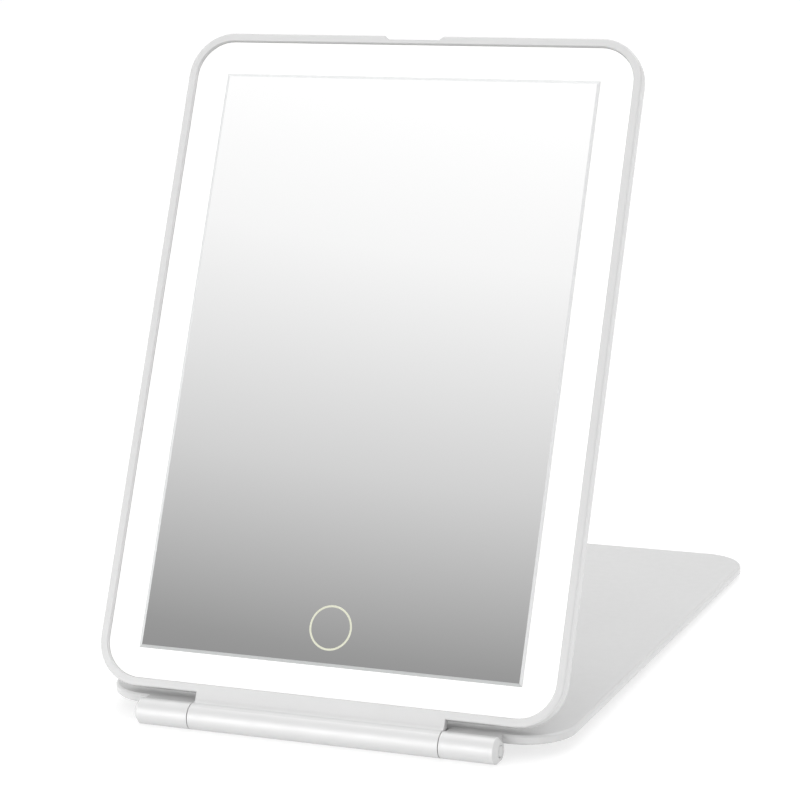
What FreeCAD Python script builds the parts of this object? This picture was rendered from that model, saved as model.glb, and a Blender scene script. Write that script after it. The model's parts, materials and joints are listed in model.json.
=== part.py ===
import FreeCAD, Part
import math
import os
from FreeCAD import Vector

# A folding lighted makeup mirror, opened: the mirror leans back and its cover lies behind it as a stand.
# Each half is drawn flat, with the hinge axis along X through the origin. On the mirror half Y runs up
# the mirror and Z comes out of its face. On the cover Y runs away from the hinge and Z points up.
# The hinge axis lies in the plane of the rim's front. Lengths are millimetres and angles are degrees.

# Opened pose
mirror_lean = 24.15
closed_gap = 0.6

# Front frame
frame_width = 160.6
frame_height = 223.3
frame_corner_radius = 15.0
rim_width = 2.75
rim_recess = 1.2
rim_round = 0.6
rim_inner_chamfer = 0.2
ledge_width = 1.3
ledge_thickness = 1.0
notch_width = 21.2
notch_depth = 1.45
notch_reach = 4.4

# Rear cover
cavity_depth = 3.5
back_wall = 1.5
back_round = 5.0
lip_height = 0.6
lip_thickness = 1.2
lip_clearance = 0.1
rib_thickness = 1.2
rib_clearance = 0.1

# Mirror glass and what holds it
side_border = 14.0
lower_border = 12.6
upper_border = 14.1
glass_thickness = 1.5
glass_proud = 0.4
bevel_width = 1.0
bevel_depth = 0.3
glass_clearance = 0.1
adhesive_thickness = 0.3
adhesive_margin = 3.0
pocket_floor = 1.0
diffuser_clearance = 0.15

# Touch switch
ring_rise = 25.0
ring_diameter = 14.6
ring_line = 0.65
ring_depth = 0.3
ring_clearance = 0.02
touch_pad_size = 11.0

# Light boards
strip_width = 6.0
strip_thickness = 1.0
strip_gap = 1.0
led_length = 3.5
led_width = 2.8
led_height = 0.7
led_pitch = 12.0

# Main board
board_height = 36.0
board_thickness = 1.0
board_standoff = 0.5
board_edge_gap = 0.5
board_past_touch = 10.0
screw_inset_x = 8.0
screw_inset_y = 4.0
screw_head_diameter = 3.4
screw_head_height = 0.8
screw_diameter = 1.8
screw_clearance = 0.05
screw_bite_share = 0.5
boss_diameter = 4.6
chip_sizes = (8.0, 5.0, 3.2)
chip_height = 1.0
chip_row_rise = 9.0
chip_place_shares = (0.3, 0.5, 0.68)

# Charging socket and its lamp, on the left edge
usb_rise = 38.0
usb_width = 8.94
usb_height = 3.16
usb_length = 7.3
usb_wall = 0.3
usb_setback = 1.4
usb_clearance = 0.15
usb_insert_width = 6.7
usb_insert_thickness = 0.7
usb_insert_length = 5.0
lamp_spacing = 9.5
lamp_diameter = 1.6
lamp_length = 5.0
lamp_setback = 0.5
lamp_clearance = 0.05

# Battery
battery_width = 96.0
battery_height = 62.0
battery_round = 2.0
battery_headroom = 0.4
battery_clearance = 0.3
tape_thickness = 0.3
tape_margin = 8.0
lead_run = 12.0
lead_lap = 4.0
lead_diameter = 1.2
lead_spacing = 2.4
lead_clearance = 0.05
lead_gap = 8.0

# Hinge
barrel_diameter = 8.6
hinge_drop = 7.8
tongue_thickness = 2.2
tongue_root_round = 0.8
tongue_front_round = 1.5
knuckle_gap = 0.3
knuckle_length = 19.2
knuckle_inset = 17.8
knuckle_end_chamfer = 1.4
pin_diameter = 3.0
pin_press_clearance = 0.02
pin_running_clearance = 0.05
sleeve_wall = 0.9
sleeve_length = 22.0
sleeve_clearance = 0.05
sleeve_split = 1.0
key_width = 1.2
key_height = 0.5
bore_end_gap = 0.8
cap_diameter = 3.6
cap_depth = 2.0
cap_clearance = 0.08
cap_groove = 0.3

# Cover
cover_thickness = 3.0
cover_setback = 5.4
cover_inset = 0.3
cover_corner_radius = 17.0
cover_top_chamfer = 0.6
cover_under_chamfer = 0.5
foot_diameter = 9.0
foot_inset = 19.0
foot_recess = 0.5
foot_clearance = 0.05
foot_closing_clearance = 0.3
foot_chamfer = 0.3

# How far a cut runs past the face that it opens, and how near two places count as one
overrun = 1.0
same_place = 1e-4

# Levels through the mirror half, from the rim's front at 0 back to the rear face
diffuser_front = -rim_recess
glass_front = diffuser_front + glass_proud
glass_back = glass_front - glass_thickness
adhesive_back = glass_back - adhesive_thickness
diffuser_back = adhesive_back - pocket_floor
ledge_back = diffuser_back - ledge_thickness
parting = ledge_back - lip_height
cavity_floor = diffuser_back - cavity_depth
rear_face = cavity_floor - back_wall
board_back = cavity_floor + board_standoff
board_front = board_back + board_thickness
battery_back = cavity_floor + tape_thickness
battery_front = diffuser_back - battery_headroom

# Places across the mirror half
half_width = frame_width / 2
frame_bottom = hinge_drop
frame_top = frame_bottom + frame_height
glass_half = half_width - side_border
glass_bottom = frame_bottom + lower_border
glass_top = frame_top - upper_border
strip_half = strip_width / 2
border_x = (glass_half + half_width - rim_width) / 2
border_low = (glass_bottom + frame_bottom + rim_width) / 2
border_high = (glass_top + frame_top - rim_width) / 2
strip_end = border_x - strip_half - strip_gap
side_strip_low = border_low + strip_half + strip_gap
side_strip_high = border_high - strip_half - strip_gap
ring_y = frame_bottom + ring_rise
ring_inner_diameter = ring_diameter - 2 * ring_line
board_left = -half_width + rim_width + board_edge_gap
board_right = board_past_touch
board_bottom = side_strip_low
board_top = board_bottom + board_height
screw_bite = board_standoff + back_wall * screw_bite_share
usb_y = frame_bottom + usb_rise
usb_z = (diffuser_back + cavity_floor) / 2
usb_mouth = -half_width + usb_setback
usb_end = usb_mouth + usb_length
lamp_y = usb_y - lamp_spacing
lamp_z = board_front + lamp_diameter / 2 + lamp_clearance
lamp_start = -half_width + lamp_setback
lamp_end = lamp_start + lamp_length
battery_half = battery_width / 2
battery_bottom = board_top + lead_run
battery_top = battery_bottom + battery_height
lead_x = (board_left + board_right) / 2
lead_z = board_front + lead_diameter / 2 + lead_clearance

# Places along the hinge and the cover
barrel_radius = barrel_diameter / 2
knuckle_end = half_width - knuckle_inset
knuckle_start = knuckle_end - knuckle_length
barrel_end = knuckle_start - knuckle_gap
pin_radius = pin_diameter / 2
pin_inner_end = barrel_end - sleeve_length
pin_outer_end = knuckle_end - cap_depth
sleeve_inner = pin_radius + pin_running_clearance
sleeve_outer = sleeve_inner + sleeve_wall
cap_radius = cap_diameter / 2
cover_under = closed_gap
cover_top = cover_under + cover_thickness
cover_far = frame_top
cover_side = half_width - cover_inset
foot_face = diffuser_front + foot_closing_clearance
foot_x = cover_side - foot_inset
foot_y = border_high

# The open part stands on its barrel and on the far rims of the two feet, so the cover slopes a little.
foot_rim_y = foot_y + foot_diameter / 2 - foot_chamfer
foot_reach = math.hypot(foot_rim_y, foot_face)
cover_slope = math.degrees(math.atan2(foot_face, foot_rim_y) + math.asin(barrel_radius / foot_reach))
cover_turn = -cover_slope
mirror_turn = 90 - mirror_lean - cover_slope
axis_y = (barrel_radius - cover_far * math.cos(math.radians(cover_slope))) / 2
axis_z = barrel_radius


# Shapes

def block(left, right, bottom, top, low, high):
    return Part.makeBox(right - left, top - bottom, high - low, Vector(left, bottom, low))


def rounded_block(left, right, bottom, top, low, high, radius):
    solid = block(left, right, bottom, top, low, high)
    upright = [edge for edge in solid.Edges if edge.BoundBox.ZLength > edge.BoundBox.DiagonalLength / 2]
    return solid.makeFillet(radius, upright)


def inset_block(inset, low, high):
    """A block with the frame's outline, drawn in by an inset."""
    left = -half_width + inset
    bottom = frame_bottom + inset
    top = frame_top - inset
    return rounded_block(left, -left, bottom, top, low, high, frame_corner_radius - inset)


def disc(x, y, diameter, low, high):
    return Part.makeCylinder(diameter / 2, high - low, Vector(x, y, low))


def rod(radius, left, right, y=0, z=0):
    """A cylinder along the hinge axis, or beside it."""
    return Part.makeCylinder(radius, right - left, Vector(left, y, z), Vector(1, 0, 0))


def stadium_bar(width, height, left, right):
    """A bar along X with round sides, at the charging socket's place."""
    side = (width - height) / 2
    bar = block(left, right, usb_y - side, usb_y + side, usb_z - height / 2, usb_z + height / 2)
    for y in (usb_y - side, usb_y + side):
        bar = bar.fuse(rod(height / 2, left, right, y, usb_z))
    return bar.removeSplitter()


def same(first, second):
    return abs(first - second) < same_place


def edges_at_z(shape, z):
    return [edge for edge in shape.Edges if same(edge.BoundBox.ZMin, z) and same(edge.BoundBox.ZMax, z)]


def edges_along_x(shape, y, z):
    level = edges_at_z(shape, z)
    return [edge for edge in level if same(edge.BoundBox.YMin, y) and same(edge.BoundBox.YMax, y)]


def edges_at_x(shape, x):
    return [edge for edge in shape.Edges if same(edge.BoundBox.XMin, x) and same(edge.BoundBox.XMax, x)]


def inside_rim(edge):
    """Whether an edge runs inside the middle line of the rim."""
    inset = rim_width / 2
    box = edge.BoundBox
    across = box.XMin > inset - half_width and box.XMax < half_width - inset
    return across and box.YMin > frame_bottom + inset and box.YMax < frame_top - inset


def mirrored(shape):
    return shape.mirror(Vector(0, 0, 0), Vector(1, 0, 0))


def pair(shape):
    return Part.makeCompound([shape, mirrored(shape)])


# The outside of the mirror half, which the front frame and the rear cover share

def outer_body(low, high):
    """The part between two levels of a body that is square at the rim and rounded round the back."""
    body = inset_block(0, rear_face, 0)
    body = body.makeFillet(back_round, edges_at_z(body, rear_face))
    body = body.makeFillet(rim_round, edges_at_z(body, 0))
    side = half_width + overrun
    return body.common(block(-side, side, frame_bottom - overrun, frame_top + overrun, low, high))


# Front frame

def frame_walls():
    """The rim and side walls, with the diffuser's ledge and the seat of the rear cover's lip."""
    lip_seat = rim_width - lip_thickness - lip_clearance
    walls = outer_body(parting, overrun).cut(inset_block(rim_width, diffuser_back, overrun))
    walls = walls.cut(inset_block(rim_width + ledge_width, parting, diffuser_back + overrun))
    walls = walls.cut(inset_block(lip_seat, parting - overrun, ledge_back))
    inner_edges = [edge for edge in edges_at_z(walls, 0) if inside_rim(edge)]
    return walls.makeChamfer(rim_inner_chamfer, inner_edges)


def thumb_notch():
    """A shallow cut in the top edge with sloping ends."""
    low = frame_top - notch_depth
    high = frame_top + overrun
    narrow = notch_width / 2 - notch_depth
    wide = notch_width / 2 + overrun
    corners = [(-narrow, low), (narrow, low), (wide, high), (-wide, high), (-narrow, low)]
    outline = Part.makePolygon([Vector(x, y, -notch_reach) for x, y in corners])
    return Part.Face(outline).extrude(Vector(0, 0, notch_reach + overrun))


def side_openings():
    """The charging socket's slot and the lamp's hole through the left wall."""
    outside = -half_width - overrun
    slot_width = usb_width + 2 * usb_clearance
    slot = stadium_bar(slot_width, usb_height + 2 * usb_clearance, outside, usb_end)
    slot_low = usb_y - slot_width / 2
    slot_high = usb_y + slot_width / 2
    ledge_gap = block(-half_width + rim_width, usb_end, slot_low, slot_high, usb_z, diffuser_back)
    lamp_hole = rod(lamp_diameter / 2 + lamp_clearance, outside, lamp_end, lamp_y, lamp_z)
    return slot.fuse(ledge_gap).fuse(lamp_hole)


def sleeve_bore():
    """The right-hand bore of the middle barrel, with the keyway of its friction sleeve."""
    start = pin_inner_end - bore_end_gap
    end = barrel_end + overrun
    keyway_top = sleeve_outer + key_height + sleeve_clearance
    keyway_side = key_width / 2 + sleeve_clearance
    keyway = block(start, end, 0, keyway_top, -keyway_side, keyway_side)
    return rod(sleeve_outer + sleeve_clearance, start, end).fuse(keyway)


def front_frame():
    """Walls, tongue and middle barrel in one moulding."""
    tongue = block(-barrel_end, barrel_end, 0, frame_bottom + rim_width / 2, -tongue_thickness, 0)
    barrel = rod(barrel_radius, -barrel_end, barrel_end)
    frame = frame_walls().fuse(tongue).fuse(barrel).removeSplitter()
    frame = frame.makeFillet(tongue_root_round, edges_along_x(frame, frame_bottom, -tongue_thickness))
    frame = frame.makeFillet(tongue_front_round, edges_along_x(frame, barrel_radius, 0))
    bore = sleeve_bore()
    for cutter in (bore, mirrored(bore), thumb_notch(), side_openings()):
        frame = frame.cut(cutter)
    return frame


# Rear cover

def ribs():
    """Walls that back the diffuser beside the light boards, and fences round the battery."""
    high = diffuser_back - rib_clearance
    low_end = board_top + strip_gap
    side = block(strip_end - rib_thickness, strip_end, low_end, side_strip_high, cavity_floor, high)
    lintel_low = side_strip_high - rib_thickness
    lintel = block(-strip_end, strip_end, lintel_low, side_strip_high, cavity_floor, high)
    fence_top = battery_top + battery_clearance
    fence_foot = battery_bottom - battery_clearance
    lead_left = lead_x - lead_gap / 2
    lead_right = lead_x + lead_gap / 2
    return [
        side,
        mirrored(side),
        lintel,
        block(-battery_half, battery_half, fence_top, fence_top + rib_thickness, cavity_floor, high),
        block(-battery_half, lead_left, fence_foot - rib_thickness, fence_foot, cavity_floor, high),
        block(lead_right, battery_half, fence_foot - rib_thickness, fence_foot, cavity_floor, high),
    ]


def screw_places():
    """Two opposite corners of the main board."""
    lower = (board_left + screw_inset_x, board_bottom + screw_inset_y)
    upper = (board_right - screw_inset_x, board_top - screw_inset_y)
    return [lower, upper]


def rear_cover():
    """A shallow tray with a lip that enters the front frame."""
    lip = inset_block(rim_width - lip_thickness, parting, ledge_back - lip_clearance)
    tray = outer_body(rear_face - overrun, parting).fuse(lip)
    tray = tray.cut(inset_block(rim_width, cavity_floor, overrun))
    for rib in ribs():
        tray = tray.fuse(rib)
    for x, y in screw_places():
        tray = tray.fuse(disc(x, y, boss_diameter, cavity_floor, board_back))
    for x, y in screw_places():
        hole_diameter = screw_diameter + 2 * screw_clearance
        tray = tray.cut(disc(x, y, hole_diameter, board_back - screw_bite - screw_clearance, overrun))
    return tray.cut(side_openings()).removeSplitter()


# Mirror, light and touch switch

def rectangle(half, bottom, top, z):
    corners = [(-half, bottom), (half, bottom), (half, top), (-half, top), (-half, bottom)]
    return Part.makePolygon([Vector(x, y, z) for x, y in corners])


def touch_ring_shape(outer_diameter, inner_diameter, low, high):
    return disc(0, ring_y, outer_diameter, low, high).cut(disc(0, ring_y, inner_diameter, low, high))


def mirror_glass():
    """Square-cornered glass with a narrow bevel and the shallow groove of the touch ring."""
    face_half = glass_half - bevel_width
    sections = [
        rectangle(glass_half, glass_bottom, glass_top, glass_back),
        rectangle(glass_half, glass_bottom, glass_top, glass_front - bevel_depth),
        rectangle(face_half, glass_bottom + bevel_width, glass_top - bevel_width, glass_front),
    ]
    glass = Part.makeLoft(sections, True, True)
    wide = ring_diameter + 2 * ring_clearance
    narrow = ring_inner_diameter - 2 * ring_clearance
    return glass.cut(touch_ring_shape(wide, narrow, glass_front - ring_depth, overrun))


def touch_ring():
    return touch_ring_shape(ring_diameter, ring_inner_diameter, glass_front - ring_depth, glass_front)


def glass_adhesive():
    half = glass_half - adhesive_margin
    bottom = glass_bottom + adhesive_margin
    return block(-half, half, bottom, glass_top - adhesive_margin, adhesive_back, glass_back)


def light_diffuser():
    """An opal plate inside the rim, with a pocket that takes the glass."""
    half = glass_half + glass_clearance
    bottom = glass_bottom - glass_clearance
    pocket = block(-half, half, bottom, glass_top + glass_clearance, adhesive_back, overrun)
    return inset_block(rim_width + diffuser_clearance, diffuser_back, diffuser_front).cut(pocket)


def touch_pad():
    half = touch_pad_size / 2
    return block(-half, half, ring_y - half, ring_y + half, board_front, diffuser_back)


# Light boards: one lies across the top and the bottom, one stands at each side

def strip(left, right, bottom, top):
    return block(left, right, bottom, top, cavity_floor, cavity_floor + strip_thickness)


def level_strip(y):
    return strip(-strip_end, strip_end, y - strip_half, y + strip_half)


def side_strip(x, bottom):
    return strip(x - strip_half, x + strip_half, bottom, side_strip_high)


def led_places(start, end):
    count = max(1, int((end - start) // led_pitch))
    first = (start + end - (count - 1) * led_pitch) / 2
    return [first + led_pitch * index for index in range(count)]


def led_chip(x, y, across, along):
    low = cavity_floor + strip_thickness
    return block(x - across / 2, x + across / 2, y - along / 2, y + along / 2, low, low + led_height)


def led_chips():
    chips = []
    for x in led_places(-strip_end, strip_end):
        chips.append(led_chip(x, border_low, led_length, led_width))
        chips.append(led_chip(x, border_high, led_length, led_width))
    for y in led_places(side_strip_low, side_strip_high):
        chips.append(led_chip(border_x, y, led_width, led_length))
    for y in led_places(board_top + strip_gap, side_strip_high):
        chips.append(led_chip(-border_x, y, led_width, led_length))
    return Part.makeCompound(chips)


# Main board, charging socket and battery

def main_board():
    board = block(board_left, board_right, board_bottom, board_top, board_back, board_front)
    board = board.common(inset_block(rim_width + board_edge_gap, board_back, board_front))
    socket_side = usb_width / 2 + usb_clearance
    low = board_back - overrun
    high = board_front + overrun
    end = usb_end + usb_clearance
    board = board.cut(block(board_left - overrun, end, usb_y - socket_side, usb_y + socket_side, low, high))
    for x, y in screw_places():
        board = board.cut(disc(x, y, screw_diameter + 2 * screw_clearance, low, high))
    return board


def board_chips():
    chips = []
    y = board_bottom + chip_row_rise
    for size, share in zip(chip_sizes, chip_place_shares):
        x = board_left + share * (board_right - board_left)
        half = size / 2
        chips.append(block(x - half, x + half, y - half, y + half, board_front, board_front + chip_height))
    return Part.makeCompound(chips)


def board_screws():
    screws = []
    for x, y in screw_places():
        head = disc(x, y, screw_head_diameter, board_front, board_front + screw_head_height)
        screws.append(head.fuse(disc(x, y, screw_diameter, board_back - screw_bite, board_front)))
    return Part.makeCompound(screws)


def usb_socket():
    """A thin steel shell, open to the left."""
    inner_width = usb_width - 2 * usb_wall
    inner_height = usb_height - 2 * usb_wall
    shell = stadium_bar(usb_width, usb_height, usb_mouth, usb_end)
    return shell.cut(stadium_bar(inner_width, inner_height, usb_mouth - overrun, usb_end - usb_wall))


def usb_insert():
    end = usb_end - usb_wall
    side = usb_insert_width / 2
    half = usb_insert_thickness / 2
    return block(end - usb_insert_length, end, usb_y - side, usb_y + side, usb_z - half, usb_z + half)


def charge_lamp():
    return rod(lamp_diameter / 2, lamp_start, lamp_end, lamp_y, lamp_z)


def battery_cell():
    size = (-battery_half, battery_half, battery_bottom, battery_top, battery_back, battery_front)
    return rounded_block(*size, battery_round)


def battery_tape():
    half = battery_half - tape_margin
    bottom = battery_bottom + tape_margin
    return block(-half, half, bottom, battery_top - tape_margin, cavity_floor, battery_back)


def battery_leads():
    leads = []
    for x in (lead_x - lead_spacing / 2, lead_x + lead_spacing / 2):
        start = Vector(x, board_top - lead_lap, lead_z)
        leads.append(Part.makeCylinder(lead_diameter / 2, lead_run + lead_lap, start, Vector(0, 1, 0)))
    return Part.makeCompound(leads)


# Hinge: the right-hand pieces, mirrored for the left

def friction_sleeve():
    """A split spring sleeve, keyed into the middle barrel, that grips the pin."""
    sleeve = rod(sleeve_outer, pin_inner_end, barrel_end).cut(rod(sleeve_inner, pin_inner_end, barrel_end))
    split = sleeve_split / 2
    key = key_width / 2
    key_root = (sleeve_inner + sleeve_outer) / 2
    sleeve = sleeve.cut(block(pin_inner_end, barrel_end, -sleeve_outer, 0, -split, split))
    return sleeve.fuse(block(pin_inner_end, barrel_end, key_root, sleeve_outer + key_height, -key, key))


def hinge_pin():
    return rod(pin_radius, pin_inner_end, pin_outer_end)


def hinge_cap():
    return rod(cap_radius, pin_outer_end, knuckle_end)


def knuckle():
    """The outer barrel with its chamfered end, and the arm that carries it on the cover."""
    barrel = rod(barrel_radius, knuckle_start, knuckle_end)
    barrel = barrel.makeChamfer(knuckle_end_chamfer, edges_at_x(barrel, knuckle_end))
    arm_end = knuckle_end - knuckle_end_chamfer
    arm = block(knuckle_start, arm_end, 0, cover_setback + cover_thickness, cover_under, cover_top)
    return barrel.fuse(arm)


def knuckle_bore():
    """The bore of the pin, the seat of its cap and a small groove round the cap."""
    seat_radius = cap_radius + cap_clearance
    pin_bore = rod(pin_radius + pin_press_clearance, knuckle_start - overrun, pin_outer_end)
    seat = rod(seat_radius, pin_outer_end, knuckle_end + overrun)
    groove_start = Vector(knuckle_end - cap_groove, 0, 0)
    groove = Part.makeCone(seat_radius, seat_radius + cap_groove, cap_groove, groove_start, Vector(1, 0, 0))
    return pin_bore.fuse(seat).fuse(groove)


# Cover

def foot_pad():
    foot = disc(foot_x, foot_y, foot_diameter, foot_face, cover_under + foot_recess)
    return foot.makeChamfer(foot_chamfer, edges_at_z(foot, foot_face))


def stand_cover():
    """The plate that covers the mirror when closed, with its two knuckles."""
    outline = (-cover_side, cover_side, cover_setback, cover_far, cover_under, cover_top)
    cover = rounded_block(*outline, cover_corner_radius)
    cover = cover.makeChamfer(cover_top_chamfer, edges_at_z(cover, cover_top))
    cover = cover.makeChamfer(cover_under_chamfer, edges_at_z(cover, cover_under))
    recess_diameter = foot_diameter + 2 * foot_clearance
    recess = disc(foot_x, foot_y, recess_diameter, cover_under - overrun, cover_under + foot_recess)
    for piece in (knuckle(), mirrored(knuckle())):
        cover = cover.fuse(piece)
    for cutter in (knuckle_bore(), mirrored(knuckle_bore()), recess, mirrored(recess)):
        cover = cover.cut(cutter)
    return cover.removeSplitter()


# The two halves, opened

mirror_half = {
    "front_frame": front_frame(),
    "rear_cover": rear_cover(),
    "light_diffuser": light_diffuser(),
    "mirror_glass": mirror_glass(),
    "glass_adhesive": glass_adhesive(),
    "touch_ring": touch_ring(),
    "touch_pad": touch_pad(),
    "led_board_top": level_strip(border_high),
    "led_board_bottom": level_strip(border_low),
    "led_board_left": side_strip(-border_x, board_top + strip_gap),
    "led_board_right": side_strip(border_x, side_strip_low),
    "led_chips": led_chips(),
    "main_board": main_board(),
    "board_chips": board_chips(),
    "board_screws": board_screws(),
    "usb_socket": usb_socket(),
    "usb_insert": usb_insert(),
    "charge_lamp": charge_lamp(),
    "battery_cell": battery_cell(),
    "battery_tape": battery_tape(),
    "battery_leads": battery_leads(),
    "friction_sleeve_right": friction_sleeve(),
    "friction_sleeve_left": mirrored(friction_sleeve()),
}

cover_half = {
    "stand_cover": stand_cover(),
    "hinge_pin_right": hinge_pin(),
    "hinge_pin_left": mirrored(hinge_pin()),
    "hinge_cap_right": hinge_cap(),
    "hinge_cap_left": mirrored(hinge_cap()),
    "foot_pads": pair(foot_pad()),
}


def save(half, turn):
    """Turns one half about the hinge axis, sets the axis over the table and writes its pieces."""
    for name, shape in half.items():
        shape.rotate(Vector(0, 0, 0), Vector(1, 0, 0), turn)
        shape.translate(Vector(0, axis_y, axis_z))
        shape.exportStep("parts/" + name + ".step")


os.makedirs("parts", exist_ok=True)
save(mirror_half, mirror_turn)
save(cover_half, cover_turn)
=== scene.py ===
import json
import math

import bpy
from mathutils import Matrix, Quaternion, Vector


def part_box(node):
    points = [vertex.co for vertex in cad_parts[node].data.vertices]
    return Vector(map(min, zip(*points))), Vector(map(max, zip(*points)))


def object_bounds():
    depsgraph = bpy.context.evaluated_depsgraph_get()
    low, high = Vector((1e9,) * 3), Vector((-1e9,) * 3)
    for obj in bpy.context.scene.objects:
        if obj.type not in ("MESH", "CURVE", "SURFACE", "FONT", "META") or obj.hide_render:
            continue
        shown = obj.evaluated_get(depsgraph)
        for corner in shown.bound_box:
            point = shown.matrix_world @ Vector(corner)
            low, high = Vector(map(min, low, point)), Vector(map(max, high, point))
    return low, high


# A folding lighted makeup mirror, opened: finishes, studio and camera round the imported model.
# Lengths are metres, apart from the lens and its sensor in millimetres. Lamps are watts.

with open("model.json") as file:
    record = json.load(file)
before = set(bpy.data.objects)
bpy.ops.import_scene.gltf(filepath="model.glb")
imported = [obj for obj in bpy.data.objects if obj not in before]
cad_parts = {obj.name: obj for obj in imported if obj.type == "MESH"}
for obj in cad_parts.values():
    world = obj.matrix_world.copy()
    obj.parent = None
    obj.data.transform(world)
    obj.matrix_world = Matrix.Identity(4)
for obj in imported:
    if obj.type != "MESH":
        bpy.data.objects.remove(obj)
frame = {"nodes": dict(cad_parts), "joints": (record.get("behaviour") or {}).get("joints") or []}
cad_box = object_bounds()
nodes = frame["nodes"]

# View
camera_place = Vector((0.342606, -0.874790, 0.300327))
view_azimuth = math.radians(22.2112)
view_elevation = math.radians(12.8058)
view_roll = math.radians(-1.3670)
lens_length = 125.1135
sensor_width = 36.0

# Floor: as it lights the object, and as it is seen
floor_width = 14.0
floor_grey = (0.93, 0.93, 0.93)
floor_seen_grey = (0.34, 0.34, 0.34)
floor_seen_glow = 0.73

# Studio walls, which the mirror shows: pairs of how far a direction rises and the grey there
gradient_axis = (-0.16, 0.0, 1.0)
gradient_low = -0.1
gradient_high = 0.7
gradient_greys = (
    (-0.10, 0.75),
    (0.30, 0.55),
    (0.48, 0.26),
    (0.505, 0.25),
    (0.53, 0.325),
    (0.585, 0.66),
    (0.65, 0.95),
    (0.69, 1.04),
)

# Lamps
lamp_target = Vector((0.0, -0.08, 0.06))
overhead_place = Vector((0.2, 0.6, 1.35))
overhead_width = 1.8
overhead_depth = 1.4
overhead_power = 10.2
front_place = Vector((-0.76, -1.75, 0.41))
front_width = 1.1
front_height = 0.82
front_power = 9.2
shine_step = Vector((0.004, 0.01, -0.002))
shine_power = 8.0
right_place = Vector((1.5, -0.4, 0.6))
right_width = 0.9
right_height = 0.9
right_power = 2.2
left_place = Vector((-1.4, -0.25, 0.3))
left_width = 0.8
left_height = 0.5
left_power = 3.0

# Colours
white = (1.0, 1.0, 1.0)
moulded_grey = (0.66, 0.66, 0.66)
# Painted shade and light on the hinge: its round is a darker copy of the moulded grey, while its ends and
# the strip into the tongue keep the moulded grey
barrel_shade_grey = (0.43, 0.43, 0.43)
# Painted shade on the rim's inner wall: a little darker on the sides, much darker along the top, where it
# looks down
rim_side_shade_grey = (0.64, 0.64, 0.64)
rim_top_shade_grey = (0.40, 0.40, 0.40)
opal_white = (0.76, 0.76, 0.755)
opal_glow = (0.97, 0.97, 0.965)
silver = (0.97, 0.97, 0.97)
ground_grey = (0.80, 0.81, 0.81)
# Painted shade on the ground edge at the bottom, where it looks down
ground_shade_grey = (0.52, 0.53, 0.53)
ring_cream = (0.42, 0.42, 0.36)
ring_glow = (0.72, 0.74, 0.55)
silicone_grey = (0.62, 0.62, 0.62)
tape_white = (0.72, 0.72, 0.69)
foam_black = (0.05, 0.05, 0.05)
board_white = (0.78, 0.78, 0.76)
board_white_trace = (0.68, 0.67, 0.6)
board_green = (0.02, 0.12, 0.05)
board_green_trace = (0.05, 0.22, 0.09)
chip_black = (0.035, 0.035, 0.037)
steel_grey = (0.58, 0.58, 0.58)
spring_blue = (0.3, 0.31, 0.34)
resin_yellow = (0.86, 0.68, 0.16)
pipe_clear = (0.9, 0.93, 0.93)
foil_grey = (0.62, 0.62, 0.64)
lead_red = (0.45, 0.03, 0.02)
lead_black = (0.02, 0.02, 0.02)

# The middle stretch of a noise, where most of its values lie, for roughness and for colour
noise_low = 0.3
noise_high = 0.7
mottle_low = 0.35
mottle_high = 0.65

# Rays that look for the edges to soften
edge_samples = 6

# Places on the mirror half
mirror_lean = math.radians(25.01)
mirror_face = Vector((0.0, -math.cos(mirror_lean), math.sin(mirror_lean)))
mirror_up = Vector((0.0, math.sin(mirror_lean), math.cos(mirror_lean)))
glass_low, glass_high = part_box("mirror_glass")
middle = (glass_low + glass_high) / 2
# Where the rim's inner wall is, which gets painted shade
inward_reach = 0.03
rim_below_middle = 0.1125
bevel_cosines = (0.9, 0.99)
# How far the ground edge must look down to get the painted shade
bevel_tilt = 0.1
hinge_place = Vector(frame["joints"][0]["pos_m"])
hinge_reach = 0.0045
# Hinge faces past these cosines keep the lighter grey as painted light: the ends, and the barrel's strip
# into the tongue
lit_end_cosine = 0.5
lit_strip_cosine = 0.68


# Node helpers

def add(tree, kind, **settings):
    node = tree.nodes.new("ShaderNode" + kind)
    for key, value in settings.items():
        setattr(node, key, value)
    return node


def opaque(colour):
    return (*colour, 1.0)


def object_place(tree):
    return add(tree, "TexCoord").outputs["Object"]


def noise(tree, repeats, detail=2.0, stretch=None):
    """Noise over the object's own place, in repeats per metre."""
    texture = add(tree, "TexNoise")
    texture.inputs["Scale"].default_value = repeats
    texture.inputs["Detail"].default_value = detail
    place = object_place(tree)
    if stretch:
        mapping = add(tree, "Mapping")
        mapping.inputs["Scale"].default_value = stretch
        tree.links.new(place, mapping.inputs["Vector"])
        place = mapping.outputs["Vector"]
    tree.links.new(place, texture.inputs["Vector"])
    return texture.outputs["Fac"]


def spread(tree, source, low, high):
    """A value from low to high as the source goes through the middle of its range."""
    mapped = add(tree, "MapRange")
    mapped.inputs["From Min"].default_value = noise_low
    mapped.inputs["From Max"].default_value = noise_high
    mapped.inputs["To Min"].default_value = low
    mapped.inputs["To Max"].default_value = high
    tree.links.new(source, mapped.inputs["Value"])
    return mapped.outputs["Result"]


def tint(tree, source, stops):
    """Colours along a source value, as pairs of place and colour."""
    ramp = add(tree, "ValToRGB")
    band = ramp.color_ramp
    while len(band.elements) < len(stops):
        band.elements.new(1.0)
    for element, (place, colour) in zip(band.elements, stops):
        element.position = place
        element.color = opaque(colour)
    tree.links.new(source, ramp.inputs["Fac"])
    return ramp.outputs["Color"]


def shades(colour, change):
    """The colour a little darker and a little lighter, for a mottle."""
    return [
        (mottle_low, tuple(channel * (1 - change) for channel in colour)),
        (mottle_high, tuple(channel * (1 + change) for channel in colour)),
    ]


def mottle(tree, socket, colour, change, repeats):
    """Gives a socket a colour that changes a little from place to place."""
    tree.links.new(tint(tree, noise(tree, repeats), shades(colour, change)), socket)


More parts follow.
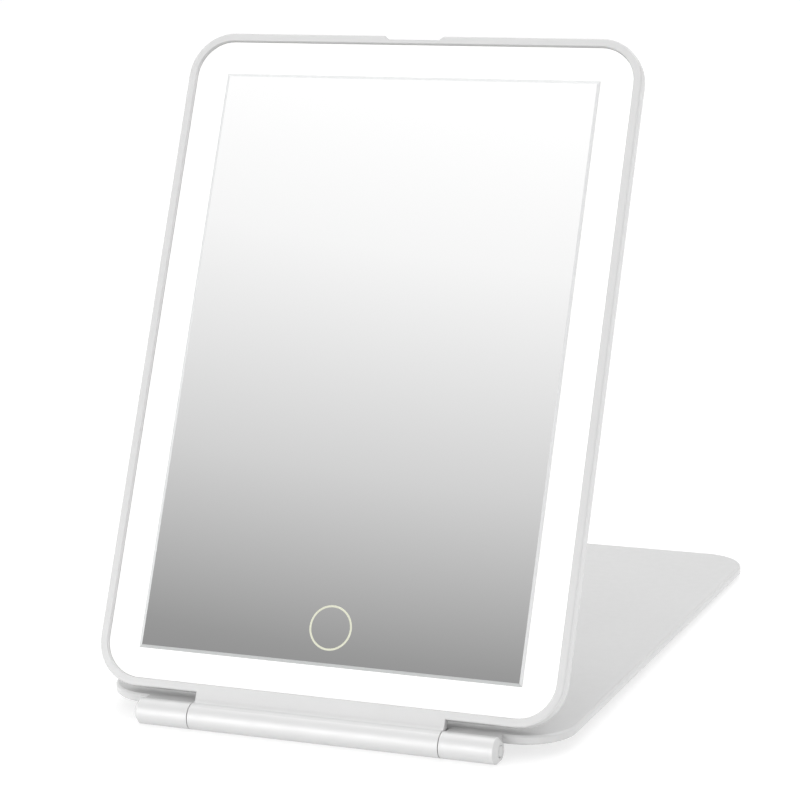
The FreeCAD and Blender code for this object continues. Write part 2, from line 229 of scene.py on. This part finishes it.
def roughen(tree, shader, low, high, repeats, detail=2.0):
    """Gives a surface a roughness that changes from place to place."""
    tree.links.new(spread(tree, noise(tree, repeats, detail), low, high), shader.inputs["Roughness"])


def relief(tree, shader, height, depth, edge_round=0.0):
    """Bump of a real depth, over edges that are softened by a small radius."""
    bump = add(tree, "Bump")
    bump.inputs["Distance"].default_value = depth
    tree.links.new(height, bump.inputs["Height"])
    if edge_round:
        soft = add(tree, "Bevel", samples=edge_samples)
        soft.inputs["Radius"].default_value = edge_round
        tree.links.new(soft.outputs["Normal"], bump.inputs["Normal"])
    tree.links.new(bump.outputs["Normal"], shader.inputs["Normal"])


def start(name):
    made = bpy.data.materials.new(name)
    made.use_nodes = True
    tree = made.node_tree
    return made, tree, tree.nodes["Principled BSDF"]


# Finishes

def spark_texture(tree, shader, rough):
    """The fine texture that a spark-eroded mould leaves, with softened edges."""
    change = 0.03
    roughen(tree, shader, low=rough - change, high=rough + change, repeats=350.0)
    relief(tree, shader, noise(tree, repeats=2600.0), depth=2e-6, edge_round=0.0004)


def satin_plastic(name, colour, rough):
    """Moulded plastic with a fine texture and a faint mottle."""
    made, tree, shader = start(name)
    mottle(tree, shader.inputs["Base Color"], colour, change=0.008, repeats=14.0)
    spark_texture(tree, shader, rough)
    return made


def shaded_rim_plastic(name, side, top, rough):
    """The rim's inner wall: moulded plastic with painted shade, a little darker than the rim on the sides
    and much darker along the top, where it looks down.
    """
    made, tree, shader = start(name)
    down = add(tree, "VectorMath", operation="DOT_PRODUCT")
    down.inputs[1].default_value = -mirror_up
    tree.links.new(add(tree, "TexCoord").outputs["Normal"], down.inputs[0])
    greys = tint(tree, down.outputs["Value"], [(0.0, side), (1.0, top)])
    tree.links.new(greys, shader.inputs["Base Color"])
    spark_texture(tree, shader, rough)
    return made


def shaded_polished_plastic(name, colour):
    """The barrels of the hinge: smooth plastic with a strong broad shine, in a darker grey than the same
    plastic on the ends and on the strip into the tongue; that difference is painted shade.
    """
    made, tree, shader = start(name)
    shader.inputs["Specular IOR Level"].default_value = 1.0
    shader.inputs["IOR"].default_value = 3.0
    mottle(tree, shader.inputs["Base Color"], colour, change=0.008, repeats=14.0)
    roughen(tree, shader, low=0.50, high=0.54, repeats=120.0)
    return made


def opal_light(name):
    """Lit opal plate: a white glow with a faint mottle and a satin surface."""
    made, tree, shader = start(name)
    shader.inputs["Base Color"].default_value = opaque(opal_white)
    shader.inputs["Emission Strength"].default_value = 0.38
    mottle(tree, shader.inputs["Emission Color"], opal_glow, change=0.01, repeats=60.0)
    roughen(tree, shader, low=0.32, high=0.4, repeats=500.0)
    relief(tree, shader, noise(tree, repeats=3000.0), depth=1e-6)
    return made


def silvered_glass(name):
    """Mirror face, with faint smears."""
    made, tree, shader = start(name)
    shader.inputs["Base Color"].default_value = opaque(silver)
    shader.inputs["Metallic"].default_value = 1.0
    roughen(tree, shader, low=0.0, high=0.012, repeats=25.0, detail=4.0)
    return made


def ground_glass(name, colour, metal):
    """The glass's ground edge: silver seen through a frosted surface."""
    made, tree, shader = start(name)
    shader.inputs["Metallic"].default_value = metal
    mottle(tree, shader.inputs["Base Color"], colour, change=0.02, repeats=500.0)
    roughen(tree, shader, low=0.4, high=0.5, repeats=1200.0)
    return made


def lit_ring(name):
    """The ring of the touch switch, with a faint glow."""
    made, tree, shader = start(name)
    shader.inputs["Base Color"].default_value = opaque(ring_cream)
    shader.inputs["Emission Strength"].default_value = 0.42
    mottle(tree, shader.inputs["Emission Color"], ring_glow, change=0.04, repeats=400.0)
    roughen(tree, shader, low=0.28, high=0.36, repeats=900.0)
    return made


def soft_rubber(name, colour):
    """Rubber or foam with a fine open skin."""
    made, tree, shader = start(name)
    mottle(tree, shader.inputs["Base Color"], colour, change=0.04, repeats=120.0)
    roughen(tree, shader, low=0.55, high=0.75, repeats=900.0)
    relief(tree, shader, noise(tree, repeats=1800.0, detail=3.0), depth=8e-6, edge_round=0.0003)
    return made


def circuit_board(name, colour, trace):
    """Solder mask with copper traces that show through it as paler lines."""
    made, tree, shader = start(name)
    paler = 1.06
    lines = add(tree, "TexBrick", offset=0.37)
    lines.inputs["Color1"].default_value = opaque(colour)
    lines.inputs["Color2"].default_value = opaque(channel * paler for channel in colour)
    lines.inputs["Mortar"].default_value = opaque(trace)
    lines.inputs["Scale"].default_value = 160.0
    lines.inputs["Mortar Size"].default_value = 0.03
    tree.links.new(object_place(tree), lines.inputs["Vector"])
    tree.links.new(lines.outputs["Color"], shader.inputs["Base Color"])
    roughen(tree, shader, low=0.3, high=0.42, repeats=300.0)
    relief(tree, shader, lines.outputs["Fac"], depth=-2e-5)
    return made


def chip_plastic(name):
    """Moulded black packages with a dull fine grain."""
    made, tree, shader = start(name)
    mottle(tree, shader.inputs["Base Color"], chip_black, change=0.15, repeats=700.0)
    roughen(tree, shader, low=0.5, high=0.65, repeats=1500.0)
    relief(tree, shader, noise(tree, repeats=4000.0), depth=6e-6)
    return made


def turned_metal(name, colour, rough):
    """Steel with fine lines round its length."""
    made, tree, shader = start(name)
    change = 0.06
    lines = noise(tree, repeats=900.0, detail=3.0, stretch=(6.0, 0.4, 0.4))
    tree.links.new(tint(tree, lines, shades(colour, change=0.08)), shader.inputs["Base Color"])
    tree.links.new(spread(tree, lines, low=rough - change, high=rough + change), shader.inputs["Roughness"])
    shader.inputs["Metallic"].default_value = 1.0
    relief(tree, shader, lines, depth=2e-6)
    return made


def led_resin(name):
    """Glossy yellow resin over the lamps' chips."""
    made, tree, shader = start(name)
    mottle(tree, shader.inputs["Base Color"], resin_yellow, change=0.08, repeats=900.0)
    roughen(tree, shader, low=0.15, high=0.3, repeats=1200.0)
    return made


def clear_pipe(name):
    """The charge lamp's clear acrylic."""
    made, tree, shader = start(name)
    shader.inputs["Base Color"].default_value = opaque(pipe_clear)
    shader.inputs["Transmission Weight"].default_value = 0.6
    shader.inputs["IOR"].default_value = 1.49
    roughen(tree, shader, low=0.04, high=0.12, repeats=800.0)
    return made


def battery_foil(name):
    """Laminated pouch with shallow creases."""
    made, tree, shader = start(name)
    creases = noise(tree, repeats=160.0, detail=5.0)
    tree.links.new(tint(tree, creases, shades(foil_grey, change=0.05)), shader.inputs["Base Color"])
    shader.inputs["Metallic"].default_value = 0.9
    roughen(tree, shader, low=0.25, high=0.4, repeats=90.0)
    relief(tree, shader, creases, depth=4e-5)
    return made


def lead_plastic(name, colour):
    """Soft insulation of a thin wire."""
    made, tree, shader = start(name)
    mottle(tree, shader.inputs["Base Color"], colour, change=0.06, repeats=900.0)
    roughen(tree, shader, low=0.4, high=0.5, repeats=1500.0)
    return made


# Faces that have a finish of their own; on the rim, the hinge and the glass's lower edge these finishes are
# painted shade and painted light

def shaded_rim_inside(face):
    """The rim's inner wall, which gets painted shade: it faces the middle of the mirror, and isn't on the
    hinge below the frame.
    """
    place = face.center - middle
    return face.normal.dot(place) < -inward_reach and place.dot(mirror_up) > -rim_below_middle


def shaded_hinge_round(face):
    """The round of the barrels, which gets the darker grey as painted shade: faces within their radius of
    the hinge axis that don't look along it. The ends keep the lighter grey as painted light.
    """
    away = face.center - hinge_place
    return math.hypot(away.y, away.z) < hinge_reach and abs(face.normal.x) < lit_end_cosine


def shaded_barrel_round(face):
    """The round of the middle barrel, apart from the strip that runs into the tongue, which keeps the
    lighter grey as painted light.
    """
    return shaded_hinge_round(face) and face.normal.dot(mirror_up) < lit_strip_cosine


def glass_bevel(face):
    """The ground edges, which tilt a little from the mirror's face."""
    low, high = bevel_cosines
    return low < face.normal.dot(mirror_face) < high


def shaded_lower_bevel(face):
    """The ground edge at the bottom, which looks down, in a darker grey as painted shade."""
    return glass_bevel(face) and face.normal.dot(mirror_up) < -bevel_tilt


def left_lead(face):
    """The left one of the battery's two leads."""
    low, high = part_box("battery_leads")
    return face.center.x < (low.x + high.x) / 2


def dress():
    """Gives every piece its finish, and some faces a second one."""
    frame_plastic = satin_plastic("frame_plastic", moulded_grey, rough=0.24)
    cover_plastic = satin_plastic("cover_plastic", moulded_grey, rough=0.24)
    # The barrels' darker grey is painted shade
    shaded_polished = shaded_polished_plastic("shaded_polished_plastic", barrel_shade_grey)
    steel = turned_metal("plain_steel", steel_grey, rough=0.28)
    spring_steel = turned_metal("spring_steel", spring_blue, rough=0.34)
    white_board = circuit_board("white_board", board_white, board_white_trace)
    chips = chip_plastic("chip_plastic")
    tape = soft_rubber("foam_tape", tape_white)
    finishes = {
        "front_frame": frame_plastic,
        "rear_cover": frame_plastic,
        "stand_cover": cover_plastic,
        "hinge_cap_right": cover_plastic,
        "hinge_cap_left": cover_plastic,
        "light_diffuser": opal_light("opal_light"),
        "mirror_glass": silvered_glass("silvered_glass"),
        "touch_ring": lit_ring("lit_ring"),
        "foot_pads": soft_rubber("foot_silicone", silicone_grey),
        "glass_adhesive": tape,
        "battery_tape": tape,
        "touch_pad": soft_rubber("conductive_foam", foam_black),
        "led_board_top": white_board,
        "led_board_bottom": white_board,
        "led_board_left": white_board,
        "led_board_right": white_board,
        "led_chips": led_resin("led_resin"),
        "main_board": circuit_board("green_board", board_green, board_green_trace),
        "board_chips": chips,
        "usb_insert": chips,
        "board_screws": steel,
        "usb_socket": steel,
        "hinge_pin_right": steel,
        "hinge_pin_left": steel,
        "friction_sleeve_right": spring_steel,
        "friction_sleeve_left": spring_steel,
        "charge_lamp": clear_pipe("clear_pipe"),
        "battery_cell": battery_foil("battery_foil"),
        "battery_leads": lead_plastic("red_lead", lead_red),
    }
    for name, finish in finishes.items():
        materials = nodes[name].data.materials
        materials.clear()
        materials.append(finish)
    second_finishes = (
        # The rim's inner wall gets painted shade
        ("front_frame", shaded_rim_plastic("shaded_rim_inside", rim_side_shade_grey, rim_top_shade_grey, rough=0.4), shaded_rim_inside),
        # The barrels' round gets the darker grey as painted shade; their ends and the strip into the tongue
        # stay lighter as painted light
        ("front_frame", shaded_polished, shaded_barrel_round),
        ("stand_cover", shaded_polished, shaded_hinge_round),
        ("mirror_glass", ground_glass("ground_glass", ground_grey, metal=0.3), glass_bevel),
        # The ground edge at the bottom gets a darker grey as painted shade
        ("mirror_glass", ground_glass("ground_glass_shaded_low", ground_shade_grey, metal=0.0), shaded_lower_bevel),
        ("battery_leads", lead_plastic("black_lead", lead_black), left_lead),
    )
    for name, finish, chosen in second_finishes:
        mesh = nodes[name].data
        mesh.materials.append(finish)
        last = len(mesh.materials) - 1
        for face in mesh.polygons:
            if chosen(face):
                face.material_index = last


# Studio

def seen_directly(tree):
    """1 for the camera, and for what it sees by reflection or through glass."""
    path = add(tree, "LightPath")
    total = path.outputs["Is Camera Ray"]
    for name in ("Is Glossy Ray", "Is Transmission Ray"):
        either = add(tree, "Math", operation="MAXIMUM")
        tree.links.new(total, either.inputs[0])
        tree.links.new(path.outputs[name], either.inputs[1])
        total = either.outputs["Value"]
    return total


def floor_paint():
    """Pale paint that shows white and keeps the object's shadow."""
    made = bpy.data.materials.new("floor_paint")
    made.use_nodes = True
    tree = made.node_tree
    tree.nodes.clear()
    plain = add(tree, "BsdfDiffuse")
    plain.inputs["Color"].default_value = opaque(floor_grey)
    seen = add(tree, "BsdfDiffuse")
    seen.inputs["Color"].default_value = opaque(floor_seen_grey)
    glow = add(tree, "Emission")
    glow.inputs["Color"].default_value = opaque(white)
    glow.inputs["Strength"].default_value = floor_seen_glow
    bright = add(tree, "AddShader")
    choice = add(tree, "MixShader")
    output = add(tree, "OutputMaterial")
    tree.links.new(seen.outputs["BSDF"], bright.inputs[0])
    tree.links.new(glow.outputs["Emission"], bright.inputs[1])
    tree.links.new(seen_directly(tree), choice.inputs["Fac"])
    tree.links.new(plain.outputs["BSDF"], choice.inputs[1])
    tree.links.new(bright.outputs["Shader"], choice.inputs[2])
    tree.links.new(choice.outputs["Shader"], output.inputs["Surface"])
    return made


def make_floor():
    """A plain floor at the object's lowest point."""
    bpy.ops.mesh.primitive_plane_add(size=floor_width, location=(0.0, 0.0, cad_box[0].z))
    floor = bpy.context.object
    floor.name = "floor"
    floor.data.materials.append(floor_paint())


def make_world():
    """A studio that brightens upwards, as the mirror shows it. The camera itself sees white."""
    world = bpy.data.worlds.new("studio")
    bpy.context.scene.world = world
    world.use_nodes = True
    tree = world.node_tree
    tree.nodes.clear()
    rise = add(tree, "VectorMath", operation="DOT_PRODUCT")
    rise.inputs[1].default_value = gradient_axis
    tree.links.new(add(tree, "TexCoord").outputs["Generated"], rise.inputs[0])
    share = add(tree, "MapRange")
    share.inputs["From Min"].default_value = gradient_low
    share.inputs["From Max"].default_value = gradient_high
    tree.links.new(rise.outputs["Value"], share.inputs["Value"])
    span = gradient_high - gradient_low
    stops = [((place - gradient_low) / span, (grey, grey, grey)) for place, grey in gradient_greys]
    around = add(tree, "Background")
    tree.links.new(tint(tree, share.outputs["Result"], stops), around.inputs["Color"])
    seen = add(tree, "Background")
    seen.inputs["Color"].default_value = opaque(white)
    choice = add(tree, "MixShader")
    tree.links.new(add(tree, "LightPath").outputs["Is Camera Ray"], choice.inputs["Fac"])
    tree.links.new(around.outputs["Background"], choice.inputs[1])
    tree.links.new(seen.outputs["Background"], choice.inputs[2])
    output = add(tree, "OutputWorld")
    tree.links.new(choice.outputs["Shader"], output.inputs["Surface"])


def soft_light(name, place, width, height, power, even=True, shine=True):
    """A rectangular lamp that gives even light, shine or both."""
    data = bpy.data.lights.new(name, "AREA")
    data.shape = "RECTANGLE"
    data.size = width
    data.size_y = height
    data.energy = power
    light = bpy.data.objects.new(name, data)
    light.location = place
    light.rotation_mode = "QUATERNION"
    light.rotation_quaternion = (lamp_target - place).to_track_quat("-Z", "Y")
    light.visible_camera = False
    light.visible_diffuse = even
    light.visible_glossy = shine
    bpy.context.scene.collection.objects.link(light)
    return light


def keep_off(light, names):
    """Keeps a lamp off some pieces, so that its image doesn't white out the mirror from above."""
    shaded = bpy.data.collections.new(light.name + "_kept_off")
    for name in names:
        shaded.objects.link(nodes[name])
    for entry in shaded.collection_objects:
        entry.light_linking.link_state = "EXCLUDE"
    light.light_linking.receiver_collection = shaded


def make_lamps():
    """Lamps overhead, in front and at both sides. The side lamps give no shine, so no mirror shows them."""
    soft_light("overhead_light", overhead_place, overhead_width, overhead_depth, overhead_power)
    soft_light("front_light", front_place, front_width, front_height, front_power, shine=False)
    # The shine comes from just before the front lamp, as a ray meets only one of two lamps in one place
    shine_place = front_place + shine_step
    front_shine = soft_light("front_shine", shine_place, front_width, front_height, shine_power, even=False)
    keep_off(front_shine, ("mirror_glass", "touch_ring"))
    soft_light("right_light", right_place, right_width, right_height, right_power, shine=False)
    soft_light("left_light", left_place, left_width, left_height, left_power, shine=False)


def make_camera():
    """The camera at the photograph's place and angle."""
    data = bpy.data.cameras.new("camera")
    data.lens = lens_length
    data.sensor_width = sensor_width
    camera = bpy.data.objects.new("camera", data)
    level = math.cos(view_elevation)
    ahead = Vector((
        -math.sin(view_azimuth) * level,
        math.cos(view_azimuth) * level,
        -math.sin(view_elevation),
    ))
    camera.location = camera_place
    camera.rotation_mode = "QUATERNION"
    camera.rotation_quaternion = ahead.to_track_quat("-Z", "Y") @ Quaternion((0.0, 0.0, 1.0), view_roll)
    bpy.context.scene.collection.objects.link(camera)
    bpy.context.scene.camera = camera


dress()
make_floor()
make_world()
make_lamps()
make_camera()
bpy.context.scene.view_settings.view_transform = "Standard"
